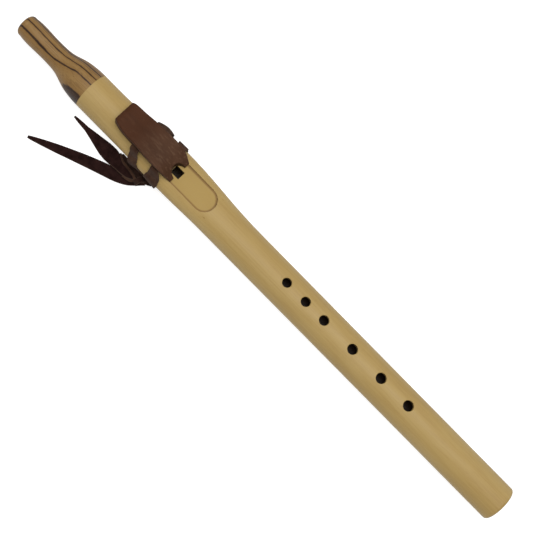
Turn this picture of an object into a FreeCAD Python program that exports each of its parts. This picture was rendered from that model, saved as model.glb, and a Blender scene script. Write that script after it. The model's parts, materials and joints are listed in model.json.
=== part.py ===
import FreeCAD, Part
import math
import os

# A two-chamber duct flute of light wood, lying on its back with the finger holes up.
# +X runs along the flute towards its foot, +Z is up, and Y is across it.
# The origin is on the table under the middle of the flute's length and width.
# Places along the flute are stations, in millimetres, from TIP to FOOT.

V = FreeCAD.Vector
EX = V(1, 0, 0)
EZ = V(0, 0, 1)

# Whole flute
TIP = 1.8                     # station of the mouthpiece's tip
FOOT = 556.0                  # station of the open end
AXIS_Z = 18.4                 # height of the bore's axis above the table
JOINT_STATION = 79.5          # where the mouthpiece meets the body

# Body tube
HEAD_R = 16.9                 # outer radius at the mouthpiece joint
FOOT_R = 16.6                 # outer radius at the foot
FOOT_ROUND = 2.5              # rounding of the foot's outer edge
RIM_BREAK = 0.8               # chamfer inside the foot
AIR_CHAMBER_R = 10.0          # bore of the slow air chamber
SOUND_R = 11.0                # bore of the sound chamber
SOUND_START = 172.0           # where the wider sound bore begins
SECTION_POINTS = 24           # points on each cross-section of the body
SECTION_SPANS = 28            # equal spans between the body's cross-sections

# Swelling of the body around the nest, widest a little above the axis
SWELL = 4.6
SWELL_PEAK = 174.0
SWELL_BEFORE = 80.0
SWELL_AFTER = 88.0
SWELL_LOW_DEG = -12.0         # elevation on the body's side where the swelling starts
SWELL_FULL_DEG = 30.0         # elevation where it is full
SWELL_TOP_SHARE = 0.2         # share of it left at the very top

# Nest, the flat pocket that the block sits in
NEST_Z = 14.6                 # floor, above the axis
NEST_HALF = 10.9
NEST_START = 121.0
NEST_END = 219.9

# Air path in the nest
WINDOW_WIDTH = 7.7            # width of the sound hole, the air hole and the flue
SOUND_HOLE = (173.8, 182.7)
AIR_HOLE = (148.0, 155.0)
FLUE_DEPTH = 1.2

# Finger holes: station and diameter
FINGER_HOLES = [(303.9, 8.2), (325.5, 8.4), (346.6, 8.7), (379.3, 9.0), (412.2, 9.2), (443.5, 9.2)]
HOLE_BREAK = 0.4              # chamfer at each finger hole's outer edge

# Mouthpiece: station and radius along the turned outline
MOUTH_TIP_R = 7.4             # where the rounded tip begins to turn in
MOUTH_OUTLINE = [(6.3, 9.85), (13.0, 10.45), (29.0, 10.1), (41.0, 10.25), (47.6, 10.95),
                 (54.0, 12.8), (60.7, 14.9), (67.5, 16.1), (73.5, 16.7), (JOINT_STATION, HEAD_R)]
BLOW_R = 3.5
TENON_LENGTH = 18.0
GLUE_GAP = 0.05

# Divider between the two chambers
PLUG_LENGTH = 14.0

# Block, the tied-on piece that covers the flue
BLOCK_START = 114.6
BLOCK_END = 179.8
FOOT_HALF = 10.6              # half width of the block's foot in the nest
FOOT_START = 126.0
SEAT_GAP = 0.05
HEEL_COVE_R = 19.0            # hollow under the heel, clear of the body
CHIMNEY_R = 6.6
CORNER_R = 1.2
SEAT_HEIGHT = 3.0             # height of the foot, below the block's wider upper part
# Station, half width at the bottom, y of the top's left and right edges, height of the top above the axis
BLOCK_SECTIONS = [(BLOCK_START, 8.0, -8.6, 11.0, 28.8), (115.8, 8.6, -9.3, 11.4, 30.0),
                  (124.5, 10.4, -11.9, 12.3, 30.5), (138.0, 11.0, -12.8, 13.4, 30.8),
                  (150.0, 11.2, -13.6, 14.1, 30.8), (162.0, 11.2, -14.1, 14.4, 30.3),
                  (169.0, 11.2, -13.7, 14.3, 28.4), (173.8, 11.0, -12.7, 13.7, 25.2),
                  (177.0, 10.9, -11.7, 12.7, 21.6), (BLOCK_END, 10.9, -11.1, 11.6, 18.8)]

# Lace: a flat suede strap wrapped twice round the flute through two slots in the block
LACE_WIDTH = 8.0
LACE_THICK = 1.4
LACE_GAP = 0.45               # between the lace and the body, kept over the block's whole travel
SLIDE = 2.5                   # travel of the block and its lace each way along the flute
SLOT_Z = 22.4                 # underside of the slots, above the axis
SLOT_HEIGHT = 2.0
SLOT_WIDTH = 9.4
SLOT_MOUTH = 13.4             # half length of the slots
LACE_IN_SLOT = 0.3            # clearance under the lace in a slot
BEND = (17.8, 19.9)           # y and height above the axis of the bend outside a slot
SHOULDER_DEG = 30.0           # where the lace meets the body's side
KNOT_DEG = (200.0, 206.0)     # where the lace's two ends enter the knot, from above and from below
PATCH_DEG = 10.2              # half the flat stretch that the flute rests on, under the body
# Stations of each wrap: at the knot's upper side, left and right slot mouths, knot's underside
REAR_WRAP = (156.0, 140.3, 150.5, 156.0)
FRONT_WRAP = (164.8, 164.1, 167.9, 166.2)

# Knot, on the table beside the flute
KNOT_X = (151.0, 169.0)
KNOT_Y = (-29.5, -12.0)
KNOT_HEIGHT = 14.5
KNOT_ROUND = 3.0
KNOT_COVE_R = 18.9

# Tails of the lace, flat on the table: station and y of each point of the route
LONG_TAIL_ROUTE = [(153.0, -26.4), (127.4, -35.6), (98.3, -48.1), (69.0, -61.2)]
LONG_TAIL_WIDTH = 9.4
LONG_TAIL_Z = 0.1
SHORT_TAIL_ROUTE = [(153.0, -24.6), (129.6, -22.8), (106.0, -21.5), (82.4, -21.2)]
SHORT_TAIL_WIDTH = 11.0
SHORT_TAIL_Z = 1.7
TAIL_THICK = 1.4
ARC_SHARE = 0.45              # of the shorter run, taken by each arc of a tail


def at(station, y=0.0, above_axis=0.0):
    """The point at a station, y across and a height above the bore's axis."""
    return V(station - (TIP + FOOT) / 2, y, AXIS_Z + above_axis)


def smooth(t):
    """A smooth step from 0 to 1."""
    t = min(max(t, 0.0), 1.0)
    return t * t * (3 - 2 * t)


def body_radius(station, degrees):
    """The body's outer radius at a station, in a direction counted from +Y towards +Z."""
    share = (station - JOINT_STATION) / (FOOT - JOINT_STATION)
    plain = HEAD_R + (FOOT_R - HEAD_R) * share
    reach = SWELL_BEFORE if station < SWELL_PEAK else SWELL_AFTER
    along = min(abs(station - SWELL_PEAK) / reach, 1.0)
    swelling = SWELL * math.cos(along * math.pi / 2) ** 2
    elevation = math.degrees(math.asin(math.sin(math.radians(degrees))))
    rise = smooth((elevation - SWELL_LOW_DEG) / (SWELL_FULL_DEG - SWELL_LOW_DEG))
    fall = smooth((elevation - SWELL_FULL_DEG) / (90.0 - SWELL_FULL_DEG))
    return plain + swelling * rise * (1 - (1 - SWELL_TOP_SHARE) * fall)


def around(station, degrees, radius):
    """The point at a station on a circle about the axis."""
    a = math.radians(degrees)
    return at(station, radius * math.cos(a), radius * math.sin(a))


def rod(start, end, radius):
    """A round bar about the bore's axis, from one station to another."""
    return Part.makeCylinder(radius, end - start, at(start), EX)


def window(stations, low, high, width=WINDOW_WIDTH):
    """A square-cornered cutter between two stations and two heights above the axis."""
    start, end = stations
    return Part.makeBox(end - start, width, high - low, at(start, -width / 2, low))


def body_section(station):
    """The body's closed outline at a station."""
    points = []
    for k in range(SECTION_POINTS):
        degrees = -90.0 + 360.0 * k / SECTION_POINTS
        points.append(around(station, degrees, body_radius(station, degrees)))
    curve = Part.BSplineCurve()
    curve.interpolate(Points=points, PeriodicFlag=True)
    return Part.Wire(curve.toShape())


def pocket(start, end, half, low, high):
    """A slot-shaped prism with round ends, standing on a height above the axis."""
    middle = Part.makeBox(end - start - 2 * half, 2 * half, high - low, at(start + half, -half, low))
    ends = [Part.makeCylinder(half, high - low, at(s, 0, low), EZ) for s in (start + half, end - half)]
    return middle.fuse(ends).removeSplitter()


def body_tube():
    span = (FOOT - JOINT_STATION) / SECTION_SPANS
    sections = [body_section(JOINT_STATION + k * span) for k in range(SECTION_SPANS + 1)]
    tube = Part.makeLoft(sections, True, False)
    foot = at(FOOT).x
    rim = [e for e in tube.Edges if e.BoundBox.XMin > foot - 0.01]
    tube = tube.makeFillet(FOOT_ROUND, rim)
    cuts = [rod(JOINT_STATION - 1, SOUND_START, AIR_CHAMBER_R), rod(SOUND_START, FOOT + 1, SOUND_R)]
    cuts.append(Part.makeCone(SOUND_R, SOUND_R + RIM_BREAK, RIM_BREAK, at(FOOT - RIM_BREAK), EX))
    cuts.append(pocket(NEST_START, NEST_END, NEST_HALF, NEST_Z, NEST_Z + 10))
    cuts.append(window(SOUND_HOLE, 0, NEST_Z + 1))
    cuts.append(window(AIR_HOLE, 0, NEST_Z + 1))
    cuts.append(window((AIR_HOLE[0], SOUND_HOLE[1]), NEST_Z - FLUE_DEPTH, NEST_Z + 1))
    for station, diameter in FINGER_HOLES:
        top = body_radius(station, 90)
        cuts.append(Part.makeCylinder(diameter / 2, HEAD_R * 2, at(station), EZ))
        cone = Part.makeCone(diameter / 2, diameter / 2 + 3 * HOLE_BREAK, 3 * HOLE_BREAK,
                             at(station, 0, top - HOLE_BREAK), EZ)
        cuts.append(cone)
    for cut in cuts:
        tube = tube.cut(cut)
    return tube


def mouthpiece():
    """Turned from one billet: a rounded tip, a slim stem, a flare and a tenon for the body."""
    tip = at(TIP, 0, MOUTH_TIP_R)
    shoulder = at(MOUTH_OUTLINE[0][0], 0, MOUTH_OUTLINE[0][1])
    crown = tip + V(0.3 * (shoulder.x - tip.x), 0, 0.72 * (shoulder.z - tip.z))
    turned = Part.BSplineCurve()
    turned.interpolate([at(s, 0, r) for s, r in MOUTH_OUTLINE])
    tenon_end = JOINT_STATION + TENON_LENGTH
    tenon_r = AIR_CHAMBER_R - GLUE_GAP
    corners = [at(JOINT_STATION, 0, HEAD_R), at(JOINT_STATION, 0, tenon_r), at(tenon_end, 0, tenon_r),
               at(tenon_end, 0, BLOW_R), at(TIP, 0, BLOW_R), tip]
    edges = [Part.Arc(tip, crown, shoulder).toShape(), turned.toShape()]
    edges += [Part.LineSegment(a, b).toShape() for a, b in zip(corners, corners[1:])]
    return Part.Face(Part.Wire(edges)).revolve(at(TIP), EX, 360)


def chamber_plug():
    """The wooden divider, glued in the air chamber's bore up to the wider sound bore."""
    return rod(SOUND_START - PLUG_LENGTH, SOUND_START, AIR_CHAMBER_R - GLUE_GAP)


def block_section(station, bottom_half, left, right, top):
    """The block's outline at a station: a flat bottom, leaning sides and rounded top corners."""
    low = NEST_Z + SEAT_GAP
    turned = []
    for side, top_half in ((1, right), (-1, -left)):
        lean = math.atan2(top_half - bottom_half, top - low)
        tangent = CORNER_R * math.tan((math.pi / 2 + lean) / 2)
        below = at(station, side * (top_half - tangent * math.sin(lean)), top - tangent * math.cos(lean))
        beside = at(station, side * (top_half - tangent), top)
        centre = at(station, side * (top_half - tangent), top - CORNER_R)
        out = (at(station, side * top_half, top) - centre).normalize()
        turned.append((at(station, side * bottom_half, low), below, centre + out * CORNER_R, beside))
    (right_foot, right_below, right_out, right_top), (left_foot, left_below, left_out, left_top) = turned
    edges = [Part.LineSegment(left_foot, right_foot).toShape(),
             Part.LineSegment(right_foot, right_below).toShape(),
             Part.Arc(right_below, right_out, right_top).toShape(),
             Part.LineSegment(right_top, left_top).toShape(),
             Part.Arc(left_top, left_out, left_below).toShape(),
             Part.LineSegment(left_below, left_foot).toShape()]
    return Part.Wire(edges)


def lace_slot(left, right):
    """The cutter for one slot across the block, from its left mouth's station to its right mouth's."""
    run = V(right - left, 2 * SLOT_MOUTH, 0)
    slot = Part.makeBox(SLOT_WIDTH, run.Length + 8, SLOT_HEIGHT, V(-SLOT_WIDTH / 2, -run.Length / 2 - 4, 0))
    slot.rotate(V(0, 0, 0), EZ, -math.degrees(math.atan2(run.x, run.y)))
    slot.translate(at((left + right) / 2, 0, SLOT_Z))
    return slot


def block():
    carved = Part.makeLoft([block_section(*s) for s in BLOCK_SECTIONS], True, False)
    low = NEST_Z - 1
    seat_top = NEST_Z + SEAT_HEIGHT
    foot = pocket(FOOT_START, BLOCK_END + 2 * FOOT_HALF, FOOT_HALF, low, seat_top)
    carved = carved.cut(window((BLOCK_START - 1, BLOCK_END + 1), low, seat_top, 4 * FOOT_HALF).cut(foot))
    cove = rod(BLOCK_START - 1, FOOT_START + FOOT_HALF, HEEL_COVE_R).cut(foot)
    carved = carved.cut(cove)
    carved = carved.cut(Part.makeCylinder(CHIMNEY_R, 2 * HEAD_R, at(BLOCK_END, 0, low), EZ))
    for wrap in (REAR_WRAP, FRONT_WRAP):
        carved = carved.cut(lace_slot(wrap[1], wrap[2]))
    return carved


def lace_section(place, normal):
    """The corners of a strap's rectangle at a point of its inner side, with the direction it faces."""
    side = EX * (LACE_WIDTH / 2)
    thick = normal * LACE_THICK
    return [place - side, place + side, place + side + thick, place - side + thick]


def flat_sided(sections):
    """A closed solid of flat faces through a row of four-cornered sections."""
    outlines = [sections[0], sections[-1]]
    for near, far in zip(sections, sections[1:]):
        for k in range(4):
            n = (k + 1) % 4
            outlines += [[near[k], near[n], far[n]], [near[k], far[n], far[k]]]
    faces = [Part.Face(Part.makePolygon(corners + corners[:1])) for corners in outlines]
    return Part.Solid(Part.makeShell(faces))


def spread(first, last, count):
    """Evenly spaced values from first to last."""
    return [first + (last - first) * k / (count - 1) for k in range(count)]


def lace_wrap(stations):
    """One turn of the lace: up from the knot, through the block's slot and back under the body."""
    upper, left, right, under = stations
    sections = []

    def on_body(station, degrees):
        reach = LACE_WIDTH / 2 + SLIDE
        radius = max(body_radius(station + d, degrees) for d in (-reach, 0, reach)) + LACE_GAP
        a = math.radians(degrees)
        sections.append(lace_section(around(station, degrees, radius), V(0, math.cos(a), math.sin(a))))

    rising = spread(KNOT_DEG[0], 180.0 - SHOULDER_DEG, 8)
    for station, degrees in zip(spread(upper, left, 9), rising):
        on_body(station, degrees)
    in_slot = SLOT_Z + LACE_IN_SLOT
    slant = V(0, -math.sqrt(0.5), math.sqrt(0.5))
    sections.append(lace_section(at(left, -BEND[0], BEND[1]), slant))
    sections.append(lace_section(at(left, -SLOT_MOUTH, in_slot), EZ))
    sections.append(lace_section(at(right, SLOT_MOUTH, in_slot), EZ))
    sections.append(lace_section(at(right, BEND[0], BEND[1]), V(0, -slant.y, slant.z)))
    falling = spread(SHOULDER_DEG, PATCH_DEG - 90.0, 14) + spread(-90.0 - PATCH_DEG, KNOT_DEG[1] - 360.0, 6)
    for station, degrees in zip(spread(right, under, len(falling)), falling):
        on_body(station, degrees)
    return flat_sided(sections)


def lace_knot():
    """The knot's outer shape, hollowed where it lies against the wrapped body."""
    x0, x1 = [at(s).x for s in KNOT_X]
    knot = Part.makeBox(x1 - x0, KNOT_Y[1] - KNOT_Y[0], KNOT_HEIGHT, V(x0, KNOT_Y[0], 0))
    rounded = [e for e in knot.Edges if e.BoundBox.ZMax > KNOT_ROUND and e.BoundBox.YMin < KNOT_Y[1] - 1]
    knot = knot.makeFillet(KNOT_ROUND, rounded)
    return knot.cut(rod(KNOT_X[0] - 1, KNOT_X[1] + 1, KNOT_COVE_R))


def tail_path(name, route, height):
    """Straight runs joined by tangent arcs, each arc as large as its two runs allow."""
    points = [V(at(s).x, y, height) for s, y in route]
    edges = []
    start = points[0]
    radii = []
    for before, corner, after in zip(points, points[1:], points[2:]):
        back = before - corner
        ahead = after - corner
        reach = ARC_SHARE * min(back.Length, ahead.Length)
        turn = math.pi - back.getAngle(ahead)
        radius = reach / math.tan(turn / 2)
        enter = corner + back.normalize() * reach
        leave = corner + ahead.normalize() * reach
        inward = (back + ahead).normalize()
        middle = corner + inward * (radius / math.cos(turn / 2) - radius)
        edges.append(Part.LineSegment(start, enter).toShape())
        edges.append(Part.Arc(enter, middle, leave).toShape())
        radii.append(radius)
        start = leave
    edges.append(Part.LineSegment(start, points[-1]).toShape())
    path = Part.Wire(edges)
    print(name, "length", round(path.Length, 1), "arc radii", [round(r) for r in radii])
    return path


def lace_tail(name, route, width, bottom):
    path = tail_path(name, route, bottom + TAIL_THICK / 2)
    start = path.Edges[0]
    ahead = start.tangentAt(start.FirstParameter)
    side = ahead.cross(EZ) * (width / 2)
    rise = EZ * (TAIL_THICK / 2)
    origin = path.Edges[0].valueAt(start.FirstParameter)
    corners = [origin - side - rise, origin + side - rise, origin + side + rise, origin - side + rise]
    section = Part.makePolygon(corners + corners[:1])
    tail = path.makePipeShell([section], True, True)
    print(name, "volume", round(tail.Volume), "section x length", round(path.Length * width * TAIL_THICK))
    return tail


def main():
    knot = lace_knot()
    long_tail = lace_tail("lace_tail_long", LONG_TAIL_ROUTE, LONG_TAIL_WIDTH, LONG_TAIL_Z)
    short_tail = lace_tail("lace_tail_short", SHORT_TAIL_ROUTE, SHORT_TAIL_WIDTH, SHORT_TAIL_Z)
    parts = {
        "mouthpiece": mouthpiece(),
        "body_tube": body_tube(),
        "chamber_plug": chamber_plug(),
        "block": block(),
        "lace_rear_wrap": lace_wrap(REAR_WRAP),
        "lace_front_wrap": lace_wrap(FRONT_WRAP),
        "lace_knot": knot,
        "lace_tail_long": long_tail.cut(knot),
        "lace_tail_short": short_tail.cut(knot),
    }
    os.makedirs("parts", exist_ok=True)
    for name, shape in parts.items():
        solid = shape.Solids[0]
        box = solid.BoundBox
        print(name, len(shape.Solids), solid.isValid(), round(solid.Volume),
              [round(v, 2) for v in (box.XMin, box.XMax, box.YMin, box.YMax, box.ZMin, box.ZMax)])
        solid.exportStep("parts/%s.step" % name)


main()
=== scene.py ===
import json
import math

import bmesh
import bpy
from mathutils import Matrix, Vector
from mathutils.bvhtree import BVHTree


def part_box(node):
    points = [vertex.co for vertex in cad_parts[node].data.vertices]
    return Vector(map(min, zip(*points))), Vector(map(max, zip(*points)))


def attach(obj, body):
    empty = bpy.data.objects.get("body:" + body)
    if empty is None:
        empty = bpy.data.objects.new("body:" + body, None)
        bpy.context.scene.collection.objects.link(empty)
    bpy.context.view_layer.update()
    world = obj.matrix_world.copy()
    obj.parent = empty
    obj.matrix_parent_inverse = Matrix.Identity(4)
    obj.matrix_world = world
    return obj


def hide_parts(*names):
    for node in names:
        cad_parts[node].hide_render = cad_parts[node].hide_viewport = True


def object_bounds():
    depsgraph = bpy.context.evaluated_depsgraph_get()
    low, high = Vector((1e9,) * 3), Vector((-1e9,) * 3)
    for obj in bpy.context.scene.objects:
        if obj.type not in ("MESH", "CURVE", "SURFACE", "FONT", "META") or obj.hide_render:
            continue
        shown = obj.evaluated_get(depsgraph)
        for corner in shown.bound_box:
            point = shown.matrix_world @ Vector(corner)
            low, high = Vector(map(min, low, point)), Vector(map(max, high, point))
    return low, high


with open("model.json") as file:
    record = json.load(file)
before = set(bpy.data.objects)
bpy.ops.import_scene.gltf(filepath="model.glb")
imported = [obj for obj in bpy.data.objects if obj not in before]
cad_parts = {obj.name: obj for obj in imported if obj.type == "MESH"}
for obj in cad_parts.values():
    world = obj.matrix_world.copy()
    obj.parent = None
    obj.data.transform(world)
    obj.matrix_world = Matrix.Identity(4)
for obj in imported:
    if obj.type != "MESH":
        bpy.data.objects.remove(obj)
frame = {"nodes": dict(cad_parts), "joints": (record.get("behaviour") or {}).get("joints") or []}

# A wooden duct flute with a stained block that is tied on with a suede lace.
# +X runs towards the flute's foot, +Z is up, and the flute lies on the floor at z = 0.
# Places along it are stations, in millimetres, that end at FOOT_STATION at the open end.

CAD_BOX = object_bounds()
MM = 0.001
FOOT_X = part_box("body_tube")[1].x
FOOT_STATION = 556.0
AXIS_Z = sum(corner.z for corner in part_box("chamber_plug")) / 2
SLIDE = frame["joints"][0]["range_m"][1] / MM
TIED_BLOCK = "tied_block"     # the body that the lace and its knot ride on

# Camera: a long lens high above the flute, turned so that the flute runs from corner to corner
CAMERA_DISTANCE = 1.0
CAMERA_LENS = 82.37
CAMERA_SENSOR = 36.0
CAMERA_ELEVATION = 76.4
CAMERA_TARGET = (0.00405, 0.0, 0.0)
CAMERA_SHIFT_UP = 0.00122
FLUTE_TURN = 0.421            # degrees between the flute and the picture's diagonal

# Light
FLOOR_HALF = 3.0              # half of the floor's side
FLOOR_TONE = 0.35
FLOOR_GLOW = 0.8              # the floor is a light table
WORLD_STRENGTH = 0.4
KEY_POWER = 43.5
KEY_SIZE = 1.2
KEY_PLACE = (0.0, -0.1, 2.0)
FILL_POWER = 7.0
FILL_PLACE = (0.6, 1.4, 1.6)
EXPOSED = 1.62                # how much brighter than its own tone a lit surface looks

# Nest: height of its floor above the axis, half width and last station
NEST_FLOOR = 14.6
NEST_HALF = 10.9
NEST_END = 219.9

# Mouthpiece: the direction across its growth lines
STRIPE_Y = 0.956
STRIPE_Z = -0.292

# Lace
LACE_THICK = 1.4
EDGE_ROUND = 0.25
RIBBON_COLUMNS = 10
WRAP_STEPS = 5                # rings from one key row of a wrap to the next
FOLD_STEPS = 6                # and of a fold of the knot
LACE_GAP = 0.35               # between a wrap and the highest place that it slides over
LACE_REST = LACE_THICK / 2 + 0.06   # height of the lace's middle where it lies on the floor

TAIL_SETTLE = 30.0            # how far from the knot a tail lies flat

# Tails: station, y and height above the floor of each point of the route
LONG_TAIL_ROUTE = [
    (157.0, -23.2, 4.6), (151.0, -27.6, 3.0), (140.0, -32.2, 1.3),
    (127.4, -36.2, 0.9), (98.3, -48.1, 0.8), (69.0, -61.2, 0.8),
]
# Distance from the tip and width there
LONG_TAIL_WIDTHS = [
    (0, 2.2), (4, 3.6), (14, 5.7), (26, 7.6), (38, 8.8),
    (48, 9.8), (65, 10.9), (80, 10.9), (90, 10.0), (97, 8.0),
]

SHORT_TAIL_ROUTE = [
    (154.4, -24.0, 6.2), (147.0, -25.2, 5.4), (139.6, -25.3, 4.2),
    (131.0, -22.9, 3.0), (114.0, -22.2, 1.8), (100.0, -21.3, 0.9),
    (82.4, -21.2, 0.8),
]
SHORT_TAIL_WIDTHS = [
    (0, 1.6), (4, 2.8), (9.3, 3.7), (14.5, 4.3), (20, 6.4),
    (28, 9.5), (37, 12.9), (44, 13.8), (50, 12.6), (54, 10.4),
    (57.5, 8.2), (63, 7.6), (68, 7.0), (71, 5.4), (72.8, 3.2),
]


def along(station):
    """The x of a station, in metres."""
    return FOOT_X + (station - FOOT_STATION) * MM


def at(station, y, z):
    """A point at a station, y across and z above the floor, all in millimetres."""
    return Vector((along(station), y * MM, z * MM))


def above_axis(height):
    """A height above the bore's axis as a height above the floor, in millimetres."""
    return AXIS_Z / MM + height


# Camera and light

def add_camera():
    tilt = math.radians(CAMERA_ELEVATION)
    turn = math.radians(FLUTE_TURN)
    across = Vector((0, math.sin(tilt), math.cos(tilt)))
    back = Vector((0, -math.cos(tilt), math.sin(tilt)))
    ex = Vector((1, 0, 0))
    down_right = ex * math.cos(turn) + across * math.sin(turn)
    up_right = across * math.cos(turn) - ex * math.sin(turn)
    right = (down_right + up_right).normalized()
    up = (up_right - down_right).normalized()
    target = Vector(CAMERA_TARGET) + Vector((0, 0, AXIS_Z)) + across * CAMERA_SHIFT_UP
    camera = bpy.data.objects.new("camera", bpy.data.cameras.new("camera"))
    camera.data.lens = CAMERA_LENS
    camera.data.sensor_width = CAMERA_SENSOR
    place = Matrix((right, up, back)).transposed().to_4x4()
    place.translation = target + back * CAMERA_DISTANCE
    camera.matrix_world = place
    bpy.context.scene.collection.objects.link(camera)
    bpy.context.scene.camera = camera


def add_area_light(name, place, power, size):
    light = bpy.data.lights.new(name, "AREA")
    light.energy = power
    light.shape = "DISK"
    light.size = size
    lamp = bpy.data.objects.new(name, light)
    lamp.location = place
    lamp.rotation_euler = (-Vector(place)).to_track_quat("-Z", "Y").to_euler()
    bpy.context.scene.collection.objects.link(lamp)


def add_studio():
    world = bpy.data.worlds.new("studio")
    world.use_nodes = True
    background = world.node_tree.nodes["Background"]
    background.inputs["Color"].default_value = (1, 1, 1, 1)
    background.inputs["Strength"].default_value = WORLD_STRENGTH
    bpy.context.scene.world = world
    bpy.context.scene.view_settings.view_transform = "Standard"
    add_area_light("key", KEY_PLACE, KEY_POWER, KEY_SIZE)
    add_area_light("fill", FILL_PLACE, FILL_POWER, KEY_SIZE)
    mesh = bpy.data.meshes.new("floor")
    corners = [(x * FLOOR_HALF, y * FLOOR_HALF, 0) for x, y in ((-1, -1), (1, -1), (1, 1), (-1, 1))]
    mesh.from_pydata(corners, [], [(0, 1, 2, 3)])
    floor = bpy.data.objects.new("floor", mesh)
    floor.location.z = CAD_BOX[0].z
    bpy.context.scene.collection.objects.link(floor)
    white = Surface("floor_white", roughness=0.9)
    white.set("Base Color", (FLOOR_TONE, FLOOR_TONE, FLOOR_TONE, 1))
    white.set("Specular IOR Level", 0.0)
    white.set("Emission Color", (1, 1, 1, 1))
    white.set("Emission Strength", FLOOR_GLOW)
    mesh.materials.append(white.material)


# Materials

def tone(red, green, blue):
    """The surface colour that looks like this screen colour in the scene's light."""
    linear = [((c / 255 + 0.055) / 1.055) ** 2.4 if c > 10 else c / 255 / 12.92 for c in (red, green, blue)]
    return tuple(c / EXPOSED for c in linear) + (1.0,)


class Surface:
    """A material with short ways to add its nodes. Texture coordinates are the object's own, in metres."""

    def __init__(self, name, roughness):
        self.material = bpy.data.materials.new(name)
        self.material.use_nodes = True
        self.nodes = self.material.node_tree.nodes
        self.links = self.material.node_tree.links
        self.shader = self.nodes["Principled BSDF"]
        self.set("Roughness", roughness)
        self.place = self.nodes.new("ShaderNodeTexCoord").outputs["Object"]

    def set(self, socket, value):
        self.shader.inputs[socket].default_value = value

    def wire(self, source, socket):
        self.links.new(source, socket)

    def stretched(self, scale):
        mapping = self.nodes.new("ShaderNodeMapping")
        mapping.inputs["Scale"].default_value = scale
        self.wire(self.place, mapping.inputs["Vector"])
        return mapping.outputs["Vector"]

    def noise(self, scale, detail=3.0, roughness=0.5, distortion=0.0):
        """Noise whose grains are about 1 / scale metres along each axis."""
        texture = self.nodes.new("ShaderNodeTexNoise")
        texture.inputs["Scale"].default_value = 1.0
        texture.inputs["Detail"].default_value = detail
        texture.inputs["Roughness"].default_value = roughness
        texture.inputs["Distortion"].default_value = distortion
        self.wire(self.stretched(scale), texture.inputs["Vector"])
        return texture.outputs["Fac"]

    def ramp(self, source, stops):
        ramp = self.nodes.new("ShaderNodeValToRGB")
        elements = ramp.color_ramp.elements
        while len(elements) < len(stops):
            elements.new(0.5)
        for element, (position, colour) in zip(elements, stops):
            element.position = position
            element.color = colour
        self.wire(source, ramp.inputs["Fac"])
        return ramp.outputs["Color"]

    def math(self, operation, first, second=0.0):
        node = self.nodes.new("ShaderNodeMath")
        node.operation = operation
        for socket, value in zip(node.inputs, (first, second)):
            if isinstance(value, (int, float)):
                socket.default_value = value
            else:
                self.wire(value, socket)
        return node.outputs["Value"]

    def length(self, first, second):
        """The length of a vector from its two parts."""
        squares = [self.math("MULTIPLY", part, part) for part in (first, second)]
        return self.math("SQRT", self.math("ADD", *squares))

    def remap(self, source, low, high, to_low=0.0, to_high=1.0):
        node = self.nodes.new("ShaderNodeMapRange")
        node.interpolation_type = "SMOOTHSTEP"
        names = ("From Min", "From Max", "To Min", "To Max")
        for name, value in zip(names, (low, high, to_low, to_high)):
            node.inputs[name].default_value = value
        self.wire(source, node.inputs["Value"])
        return node.outputs["Result"]

    def mix(self, share, first, second):
        node = self.nodes.new("ShaderNodeMix")
        node.data_type = "RGBA"
        sockets = [s for s in node.inputs if s.enabled and s.name in ("Factor", "A", "B")]
        for socket, value in zip(sockets, (share, first, second)):
            if isinstance(value, (int, float, tuple)):
                socket.default_value = value
            else:
                self.wire(value, socket)
        return [s for s in node.outputs if s.enabled][0]

    def axes(self):
        """The x, y and z of the surface point, in metres."""
        node = self.nodes.new("ShaderNodeSeparateXYZ")
        self.wire(self.place, node.inputs["Vector"])
        return node.outputs["X"], node.outputs["Y"], node.outputs["Z"]

    def bump(self, height, depth):
        """Relief whose height of 0 to 1 is this many metres deep."""
        node = self.nodes.new("ShaderNodeBump")
        node.inputs["Strength"].default_value = 1.0
        node.inputs["Distance"].default_value = depth
        self.wire(height, node.inputs["Height"])
        self.wire(node.outputs["Normal"], self.shader.inputs["Normal"])

    def colour(self, source):
        self.wire(source, self.shader.inputs["Base Color"])

    def rough(self, source):
        self.wire(source, self.shader.inputs["Roughness"])


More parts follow.
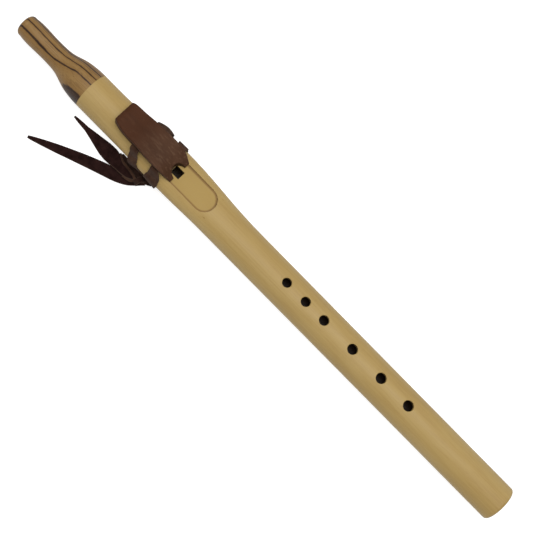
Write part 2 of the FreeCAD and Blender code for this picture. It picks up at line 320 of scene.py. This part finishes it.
def body_wood():
    """Pale satin wood with a fine straight grain, golden on the nest's floor, with painted shade in the bore
    and along the foot of the nest's walls.
    """
    wood = Surface("body_wood", roughness=0.5)
    x, y, z = wood.axes()
    height = wood.math("SUBTRACT", z, AXIS_Z)
    broad = wood.noise((9, 70, 70), detail=4, distortion=0.6)
    grain = wood.noise((30, 900, 900), detail=5, roughness=0.65)
    pores = wood.noise((160, 2600, 2600), detail=2)
    pale = [(0.3, tone(176, 146, 87)), (0.5, tone(184, 155, 94)), (0.72, tone(190, 163, 106))]
    streaked = [(0.32, tone(156, 123, 70)), (0.55, tone(184, 155, 96)), (0.8, tone(194, 168, 112))]
    base = wood.mix(0.3, wood.ramp(broad, pale), wood.ramp(grain, streaked))
    specks = wood.remap(pores, 0.62, 0.74, 0.0, 0.22)
    base = wood.mix(specks, base, tone(140, 104, 62))
    # The nest's floor: a thin layer at its height, as wide and as long as the nest
    low_enough = wood.remap(height, (NEST_FLOOR + 0.15) * MM, (NEST_FLOOR + 0.3) * MM, 1.0, 0.0)
    high_enough = wood.remap(height, (NEST_FLOOR - 0.5) * MM, (NEST_FLOOR - 0.3) * MM)
    across = wood.math("ABSOLUTE", y)
    between = wood.remap(across, (NEST_HALF + 0.1) * MM, (NEST_HALF + 0.3) * MM, 1.0, 0.0)
    after = wood.remap(x, along(160), along(165))
    before = wood.remap(x, along(NEST_END + 0.3), along(NEST_END + 0.6), 1.0, 0.0)
    nest = low_enough
    for mask in (high_enough, between, after, before):
        nest = wood.math("MULTIPLY", nest, mask)
    base = wood.mix(wood.math("MULTIPLY", nest, 0.75), base, tone(172, 141, 70))
    # Painted shade in the bore, up to a little before the open foot
    radius = wood.length(y, height)
    painted_bore_shade = wood.remap(radius, 12.5 * MM, 14.5 * MM, 1.0, 0.0)
    painted_bore_shade = wood.math("MULTIPLY", painted_bore_shade, wood.remap(x, FOOT_X - 20 * MM, FOOT_X - 8 * MM, 1.0, 0.0))
    # Painted shade along the nest's sides and round its end, where its floor meets its walls
    beyond = wood.math("MAXIMUM", wood.math("SUBTRACT", x, along(NEST_END - NEST_HALF)), 0.0)
    corner = wood.remap(wood.length(y, beyond), (NEST_HALF - 2.3) * MM, (NEST_HALF - 0.9) * MM)
    base = wood.mix(wood.math("MULTIPLY", nest, corner), base, tone(142, 107, 50))
    # The painted shade in the bore goes over all the rest
    wood.colour(wood.mix(painted_bore_shade, base, tone(46, 30, 16)))
    wood.rough(wood.remap(grain, 0.3, 0.7, 0.46, 0.6))
    wood.set("Specular IOR Level", 0.2)
    wood.bump(wood.math("ADD", grain, wood.math("MULTIPLY", pores, 0.5)), 0.00004)
    return wood.material


def mouthpiece_wood():
    """Zebrawood: tan with a few wavy, nearly black growth lines that run the length of the billet."""
    wood = Surface("mouthpiece_wood", roughness=0.42)
    x, y, z = wood.axes()
    height = wood.math("SUBTRACT", z, AXIS_Z)
    plane = wood.math("ADD", wood.math("MULTIPLY", y, STRIPE_Y), wood.math("MULTIPLY", height, STRIPE_Z))
    wander = wood.math("SUBTRACT", wood.noise((24, 60, 60), detail=2, distortion=0.4), 0.5)
    shiver = wood.math("SUBTRACT", wood.noise((90, 260, 260), detail=3), 0.5)
    plane = wood.math("ADD", plane, wood.math("MULTIPLY", wander, 2.6 * MM))
    plane = wood.math("ADD", plane, wood.math("MULTIPLY", shiver, 1.2 * MM))
    plane = wood.math("SUBTRACT", plane, wood.remap(x, along(34), along(66), 0.0, 1.3 * MM))
    across = wood.remap(plane, -20 * MM, 20 * MM)
    across.node.interpolation_type = "LINEAR"
    tan = tone(145, 110, 62)
    warm = tone(156, 122, 73)
    brown = tone(112, 80, 46)
    dark = tone(50, 32, 22)
    stripes = [
        (0.0, dark), (0.08, dark), (0.094, tan), (0.19, warm), (0.298, tan),
        (0.311, dark), (0.329, dark), (0.342, tan), (0.41, warm), (0.459, tan),
        (0.472, dark), (0.486, dark), (0.499, tan), (0.56, warm), (0.57, brown),
        (0.585, tan), (0.604, tan), (0.616, dark), (0.642, dark), (0.656, tan),
        (0.69, brown), (0.715, tan), (0.775, tan), (0.79, dark), (0.815, dark),
        (0.83, tan), (0.90, tan), (0.912, dark), (0.925, tan), (1.0, tan),
    ]
    base = wood.ramp(across, stripes)
    grain = wood.noise((35, 1100, 1100), detail=5, roughness=0.6)
    streaks = wood.remap(grain, 0.5, 0.68, 0.0, 0.55)
    base = wood.mix(streaks, base, brown)
    pores = wood.noise((140, 2400, 2400), detail=2)
    base = wood.mix(wood.remap(pores, 0.6, 0.72, 0.0, 0.45), base, dark)
    wood.colour(base)
    wood.rough(wood.remap(grain, 0.3, 0.7, 0.42, 0.58))
    wood.set("Specular IOR Level", 0.2)
    wood.bump(wood.math("ADD", grain, pores), 0.00004)
    return wood.material


def plug_wood():
    """The same pale wood as the body, seen on end in the bore."""
    wood = Surface("plug_wood", roughness=0.6)
    rings = wood.noise((60, 700, 160), detail=4)
    wood.colour(wood.ramp(rings, [(0.3, tone(120, 92, 58)), (0.7, tone(160, 130, 86))]))
    wood.bump(rings, 0.00004)
    return wood.material


def block_wood():
    """Dark stained wood, redder at the heel, with a soft worn sheen."""
    wood = Surface("block_wood", roughness=0.55)
    x = wood.axes()[0]
    broad = wood.noise((26, 90, 90), detail=4, distortion=0.5)
    grain = wood.noise((60, 900, 900), detail=5, roughness=0.6)
    heel = wood.ramp(broad, [(0.3, tone(70, 41, 24)), (0.7, tone(80, 48, 31))])
    front = wood.ramp(broad, [(0.3, tone(70, 45, 29)), (0.7, tone(86, 59, 43))])
    base = wood.mix(wood.remap(x, along(132), along(158)), heel, front)
    base = wood.mix(wood.remap(grain, 0.55, 0.75, 0.0, 0.35), base, tone(48, 32, 24))
    scuffs = wood.noise((130, 480, 480), detail=4, roughness=0.6, distortion=0.3)
    worn = wood.remap(scuffs, 0.5, 0.7, 0.0, 0.42)
    worn = wood.math("MULTIPLY", worn, wood.remap(x, along(138), along(160), 0.25, 1.0))
    base = wood.mix(worn, base, tone(112, 84, 64))
    wood.colour(base)
    wood.rough(wood.remap(broad, 0.3, 0.7, 0.52, 0.66))
    wood.set("Specular IOR Level", 0.05)
    wood.bump(grain, 0.00006)
    return wood.material


def suede(name, dark, light):
    """Napped leather with a soft mottle and a velvet sheen."""
    leather = Surface(name, roughness=0.95)
    mottle = leather.noise((170, 170, 170), detail=5, roughness=0.6)
    nap = leather.noise((1800, 1800, 1800), detail=4, roughness=0.7)
    base = leather.ramp(mottle, [(0.32, dark), (0.68, light)])
    base = leather.mix(leather.remap(nap, 0.5, 0.75, 0.0, 0.4), base, light)
    leather.colour(base)
    leather.set("Specular IOR Level", 0.04)
    leather.set("Sheen Weight", 0.03)
    leather.set("Sheen Roughness", 0.5)
    relief = leather.math("ADD", leather.math("MULTIPLY", mottle, 1.5), nap)
    leather.bump(relief, 0.00012)
    return leather.material


# Ribbons of lace

def smooth_row(rows, steps):
    """A row of number tuples with steps more between each two, on smooth curves through them."""
    out = []
    last = len(rows) - 1
    for i in range(last):
        a, b, c, d = rows[max(i - 1, 0)], rows[i], rows[i + 1], rows[min(i + 2, last)]
        for k in range(steps):
            t = k / steps
            out.append(tuple(0.5 * (2 * q + (r - p) * t + (2 * p - 5 * q + 4 * r - s) * t * t
                                    + (3 * q - p - 3 * r + s) * t ** 3) for p, q, r, s in zip(a, b, c, d)))
    out.append(tuple(float(v) for v in rows[-1]))
    return out


def ribbon_outline(width, cup):
    """The section of a strap in millimetres: sideways and outwards, its long edges raised by cup."""
    half = width / 2
    top = []
    for k in range(RIBBON_COLUMNS + 1):
        share = 2 * k / RIBBON_COLUMNS - 1
        top.append((share * (half - EDGE_ROUND), cup * share * share))
    outline = [(a, b + LACE_THICK / 2) for a, b in top]
    outline += [(half, cup + LACE_THICK / 2 - EDGE_ROUND), (half, cup - LACE_THICK / 2 + EDGE_ROUND)]
    outline += [(a, b - LACE_THICK / 2) for a, b in reversed(top)]
    outline += [(-half, cup - LACE_THICK / 2 + EDGE_ROUND), (-half, cup + LACE_THICK / 2 - EDGE_ROUND)]
    return outline


def ribbon(name, centres, outwards, widths, cups, leather, edge):
    """A closed strap through a row of points in metres. Its cut edges have their own material."""
    bm = bmesh.new()
    rings = []
    last = len(centres) - 1
    for i, centre in enumerate(centres):
        ahead = (centres[min(i + 1, last)] - centres[max(i - 1, 0)]).normalized()
        up = (outwards[i] - ahead * outwards[i].dot(ahead)).normalized()
        side = ahead.cross(up)
        outline = ribbon_outline(widths[i], cups[i])
        rings.append([bm.verts.new(centre + (side * a + up * b) * MM) for a, b in outline])
    count = len(rings[0])
    edge_faces = range(RIBBON_COLUMNS, RIBBON_COLUMNS + 3)
    edge_faces = set(edge_faces) | set(k + count // 2 for k in edge_faces)
    for near, far in zip(rings, rings[1:]):
        for k in range(count):
            n = (k + 1) % count
            face = bm.faces.new((near[k], near[n], far[n], far[k]))
            face.material_index = 1 if k in edge_faces else 0
            face.smooth = True
    for ring in (rings[0], rings[-1]):
        bm.faces.new(ring).material_index = 1
    bmesh.ops.recalc_face_normals(bm, faces=bm.faces)
    mesh = bpy.data.meshes.new(name)
    bm.to_mesh(mesh)
    bm.free()
    mesh.materials.append(leather)
    mesh.materials.append(edge)
    piece = bpy.data.objects.new(name, mesh)
    bpy.context.scene.collection.objects.link(piece)
    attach(piece, TIED_BLOCK)
    return piece


def width_at(distance, table):
    """The width at a distance from the tip, in millimetres."""
    for (d0, w0), (d1, w1) in zip(table, table[1:]):
        if distance <= d1:
            t = (distance - d0) / (d1 - d0)
            return w0 + (w1 - w0) * t
    return table[-1][1]


def route_points(name, route):
    """Points along the smooth curve of a route."""
    curve = bpy.data.curves.new(name + "_route", "CURVE")
    curve.dimensions = "3D"
    spline = curve.splines.new("NURBS")
    spline.points.add(len(route) - 1)
    for point, place in zip(spline.points, route):
        point.co = (*at(*place), 1)
    spline.order_u = 3
    spline.use_endpoint_u = True
    spline.resolution_u = 16
    line = bpy.data.objects.new(name + "_route", curve)
    bpy.context.scene.collection.objects.link(line)
    bpy.context.view_layer.update()
    mesh = bpy.data.meshes.new_from_object(line.evaluated_get(bpy.context.evaluated_depsgraph_get()))
    points = [v.co.copy() for v in mesh.vertices]
    bpy.data.objects.remove(line)
    bpy.data.curves.remove(curve)
    bpy.data.meshes.remove(mesh)
    return points


def lengths_along(points):
    """The distance of each point from the first, in millimetres."""
    distances = [0.0]
    for a, b in zip(points, points[1:]):
        distances.append(distances[-1] + (b - a).length / MM)
    return distances


def lace_tail(name, route, widths, shape, leather, edge):
    """A tapering tail. shape gives the roll in degrees and the cup at a distance from the knot."""
    points = route_points(name, route)
    distances = lengths_along(points)
    outwards = []
    cups = []
    for distance in distances:
        roll, cup = shape(distance)
        a = math.radians(roll)
        outwards.append(Vector((0, -math.sin(a), math.cos(a))))
        cups.append(cup)
    across = [width_at(distances[-1] - distance, widths) for distance in distances]
    tail = ribbon(name, points, outwards, across, cups, leather, edge)
    print(name, "length", round(distances[-1], 1))
    return tail, points


def long_shape(distance):
    near = max(0.0, 1 - distance / TAIL_SETTLE)
    return 6 * near, 0.5 * near


def short_shape(distance):
    near = max(0.0, 1 - distance / TAIL_SETTLE)
    return -10 * near, 1.5 * math.sqrt(near)


def add_tails(leather, edge):
    long_tail, path = lace_tail("tail_long", LONG_TAIL_ROUTE, LONG_TAIL_WIDTHS, long_shape,
                                leather, edge)
    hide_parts("lace_tail_long")
    short_tail, path = lace_tail("tail_short", SHORT_TAIL_ROUTE, SHORT_TAIL_WIDTHS, short_shape,
                                 leather, edge)
    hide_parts("lace_tail_short")


# The wraps and the knot

# Each wrap on its left and right side: rows of direction about the axis, in degrees from +Y towards
# +Z, station and the strap's width
REAR_LEFT = [
    (206, 160.4, 8.4), (198, 156.8, 8.8), (189, 153.2, 9.0), (179, 150.2, 9.2),
    (168, 148.0, 9.2), (158, 146.4, 9.0), (149, 145.2, 8.8), (141, 144.2, 8.6),
]
REAR_RIGHT = [
    (30, 145.9, 16.8), (15, 147.0, 15.4), (0, 148.8, 13.0), (-20, 150.6, 11.0),
    (-40, 152.2, 9.6), (-60, 153.6, 8.8), (-80, 154.8, 8.4), (-100, 155.4, 8.2),
    (-120, 156.0, 7.6), (-140, 156.5, 7.0), (-154, 156.8, 6.5),
]
FRONT_LEFT = [
    (206, 163.8, 9.6), (198, 164.4, 11.0), (190, 165.0, 12.0), (181, 165.8, 12.8),
    (172, 166.4, 13.4), (163, 167.0, 13.8), (154, 167.4, 13.8), (147, 167.4, 13.2),
    (141, 167.4, 12.0),
]
FRONT_RIGHT = [
    (30, 166.0, 10.0), (15, 166.2, 9.9), (0, 166.4, 9.6), (-20, 166.6, 9.2),
    (-40, 166.8, 9.0), (-60, 166.8, 9.0), (-80, 166.6, 9.0), (-100, 166.4, 9.0),
    (-120, 166.0, 8.6), (-140, 165.2, 7.4), (-154, 164.6, 6.5),
]
# Station at the left and right slot mouths
REAR_SLOT = (142.4, 148.4)
FRONT_SLOT = (165.0, 167.0)
REAR_ARCH = -1.8              # how far the edges of the rear lace drop where it turns down on the right
SLOT_MOUTH = 13.4             # y at a slot's mouth
SLOT_LACE_WIDTH = 7.8
SLOT_LACE = 23.4              # height above the axis of the lace's middle in a slot
# y and height above the axis of the lace's middle outside a slot
BEND_LEFT = (-15.7, 18.8)
REAR_BEND_RIGHT = (19.0, 19.6)
FRONT_BEND_RIGHT = (18.0, 19.8)
CLEAR_OF_BODY = 0.06          # a distance from the axis, in metres, that is outside the flute


class Body:
    """Where the flute's outer surface is, in any direction from its axis."""

    def __init__(self):
        mesh = frame["nodes"]["body_tube"].data
        self.tree = BVHTree.FromPolygons([v.co for v in mesh.vertices], [p.vertices for p in mesh.polygons])

    def reach(self, station, degrees, half):
        """The largest radius within half of a station, in millimetres."""
        a = math.radians(degrees)
        out = Vector((0, math.cos(a), math.sin(a)))
        found = []
        for shift in (-half, -half / 2, 0, half / 2, half):
            axis = at(station + shift, 0, AXIS_Z / MM)
            hit = self.tree.ray_cast(axis + out * CLEAR_OF_BODY, -out)[0]
            found.append((hit - axis).length / MM)
        return max(found)


def wrap_keys(body, turns):
    """Rows of place, outward direction and width for a strap lying on the body."""
    rows = []
    for degrees, station, width in turns:
        a = math.radians(degrees)
        out = Vector((0, math.cos(a), math.sin(a)))
        radius = body.reach(station, degrees, width / 2 + SLIDE) + LACE_GAP + LACE_THICK / 2
        height = max(AXIS_Z / MM + radius * out.z, LACE_REST)
        rows.append((*at(station, radius * out.y, height), *out, width, 0.0))
    return rows


def lace_wrap(name, node, body, left, right, slot, bend, arch, leather, edge):
    """One turn of the lace: up from the knot, through the block's slot and down round the body."""
    keys = wrap_keys(body, left)
    gathered = 0.85 * left[-1][2]
    opening = (SLOT_LACE_WIDTH + right[0][2]) / 2
    mouths = [((slot[0] + left[-1][1]) / 2, *BEND_LEFT, -0.9, 0.45, gathered, 0.0),
              (slot[0], -SLOT_MOUTH - 0.9, SLOT_LACE - 0.5, -0.5, 0.85, SLOT_LACE_WIDTH, 0.0),
              (slot[0], -SLOT_MOUTH + 2.6, SLOT_LACE, 0, 1, SLOT_LACE_WIDTH, 0.0),
              (slot[1], SLOT_MOUTH - 2.6, SLOT_LACE, 0, 1, SLOT_LACE_WIDTH, 0.0),
              (slot[1], SLOT_MOUTH + 1.8, SLOT_LACE - 0.4, 0.35, 0.93, opening, 0.0),
              ((slot[1] + right[0][1]) / 2, *bend, 0.8, 0.6, right[0][2], arch)]
    for station, y, height, out_y, out_z, width, cup in mouths:
        keys.append((*at(station, y, above_axis(height)), 0, out_y, out_z, width, cup))
    keys += wrap_keys(body, right)
    rows = smooth_row(keys, WRAP_STEPS)
    centres = [Vector((row[0], row[1], max(row[2], LACE_REST * MM))) for row in rows]
    outwards = [Vector(row[3:6]) for row in rows]
    wrap = ribbon(name, centres, outwards, [row[6] for row in rows], [row[7] for row in rows], leather, edge)
    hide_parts(node)


# Folds of the knot: rows of station, y, height above the floor, width, cup and the way that the face looks
KNOT_FOLDS = {
    "knot_band": [
        (161.6, -17.8, 7.6, 4.6, 0.1, (0.3, -0.2, 0.9)),
        (160.2, -19.8, 10.4, 4.8, 0.2, (0.2, 0.1, 1.0)),
        (158.7, -22.6, 10.4, 4.8, 0.3, (-0.1, -0.4, 0.9)),
        (157.9, -25.2, 8.2, 4.6, 0.3, (-0.2, -0.9, 0.4)),
        (157.9, -25.8, 5.4, 4.4, 0.2, (-0.2, -1.0, -0.1)),
        (158.5, -24.0, 3.0, 4.2, 0.0, (0, -0.7, -0.7)),
        (159.8, -20.6, 2.0, 4.2, 0.0, (0, 0, -1.0)),
        (161.2, -17.2, 2.6, 4.2, 0.0, (0, 0.5, -0.8)),
    ],
    "knot_root": [
        (154.6, -24.6, 4.0, 8.4, 0.2, (0, -0.2, 1.0)),
        (157.6, -23.2, 4.8, 7.4, 0.4, (0.1, -0.3, 1.0)),
        (160.6, -21.2, 5.8, 5.8, 0.4, (0.2, -0.5, 0.9)),
        (163.4, -19.8, 7.4, 4.6, 0.2, (0.3, -0.7, 0.7)),
    ],
    "knot_fold": [
        (134.0, -16.2, 7.0, 1.8, 0.0, (0.1, -0.6, 0.8)),
        (140.0, -17.2, 8.4, 2.6, 0.1, (0.1, -0.6, 0.8)),
        (146.0, -18.2, 8.8, 3.2, 0.2, (0.1, -0.6, 0.8)),
        (151.0, -18.5, 8.8, 4.2, 0.2, (0.1, -0.5, 0.9)),
        (156.0, -18.6, 8.6, 4.8, 0.2, (0.1, -0.4, 0.9)),
        (160.4, -18.2, 8.2, 4.6, 0.1, (0.1, -0.3, 0.9)),
    ],
    "knot_collar": [
        (157.0, -20.0, 7.0, 4.6, 0.0, (0.1, -0.5, 0.9)),
        (161.0, -18.8, 8.0, 5.2, 0.1, (0.1, -0.5, 0.9)),
        (165.0, -17.9, 8.8, 5.2, 0.1, (0.1, -0.5, 0.9)),
        (168.6, -17.0, 9.6, 3.6, 0.0, (0.1, -0.6, 0.8)),
    ],
    "knot_rim": [
        (131.6, -16.2, 4.6, 1.2, 0.0, (0, -0.2, 1.0)),
        (135.2, -18.6, 5.4, 1.7, 0.2, (0, -0.2, 1.0)),
        (139.4, -20.5, 6.4, 2.0, 0.3, (0, -0.2, 1.0)),
        (144.0, -21.0, 7.2, 2.2, 0.3, (0, -0.2, 1.0)),
        (149.0, -21.7, 7.6, 2.2, 0.3, (0, -0.2, 1.0)),
        (153.4, -22.8, 7.8, 2.2, 0.3, (0.1, -0.2, 1.0)),
        (155.6, -24.6, 7.6, 2.2, 0.3, (0.2, -0.2, 1.0)),
        (154.4, -26.8, 6.8, 2.0, 0.3, (0.1, -0.3, 1.0)),
        (150.6, -28.2, 6.2, 1.7, 0.2, (0, -0.3, 1.0)),
        (146.0, -28.8, 5.6, 1.2, 0.1, (0, -0.3, 1.0)),
    ],
    "knot_tuck": [
        (132.6, -15.6, 2.4, 2.4, 0.0, (0, -0.2, 1.0)),
        (137.0, -18.2, 3.0, 5.4, 0.0, (0, -0.2, 1.0)),
        (146.0, -20.2, 3.8, 8.4, 0.4, (0, -0.2, 1.0)),
        (154.0, -21.4, 4.8, 9.0, 0.6, (0, -0.2, 1.0)),
        (159.4, -20.4, 5.0, 7.6, 0.4, (0, -0.3, 1.0)),
    ],
}


def add_knot(leather, rim_leather, edge):
    for name, rows in KNOT_FOLDS.items():
        flat = smooth_row([(*row[:5], *row[5]) for row in rows], FOLD_STEPS)
        centres = [at(*row[:3]) for row in flat]
        outwards = [Vector(row[5:]) for row in flat]
        widths = [row[3] for row in flat]
        cups = [row[4] for row in flat]
        face = rim_leather if name == "knot_rim" else leather
        ribbon(name, centres, outwards, widths, cups, face, edge)
    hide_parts("lace_knot")


# Making

def paint(node, material):
    mesh = frame["nodes"][node].data
    mesh.materials.clear()
    mesh.materials.append(material)


add_camera()
# One suede in three tones, with a lighter cut edge: the straps' lighter tone is partly painted light, where
# they catch it, and partly their polish; the tails and the knot are darker
tail_leather = suede("tail_suede", tone(29, 14, 12), tone(50, 30, 27))
knot_leather = suede("knot_suede", tone(34, 19, 15), tone(58, 40, 32))
strap_leather = suede("strap_suede", tone(58, 38, 28), tone(80, 58, 45))
cut_edge = suede("suede_cut_edge", tone(66, 48, 38), tone(90, 70, 56))
add_tails(tail_leather, cut_edge)
body_shape = Body()
lace_wrap("rear_wrap", "lace_rear_wrap", body_shape, REAR_LEFT, REAR_RIGHT, REAR_SLOT,
          REAR_BEND_RIGHT, REAR_ARCH, strap_leather, cut_edge)
lace_wrap("front_wrap", "lace_front_wrap", body_shape, FRONT_LEFT, FRONT_RIGHT, FRONT_SLOT,
          FRONT_BEND_RIGHT, 0.0, strap_leather, cut_edge)
add_knot(knot_leather, strap_leather, cut_edge)
paint("body_tube", body_wood())
paint("mouthpiece", mouthpiece_wood())
paint("chamber_plug", plug_wood())
paint("block", block_wood())
add_studio()
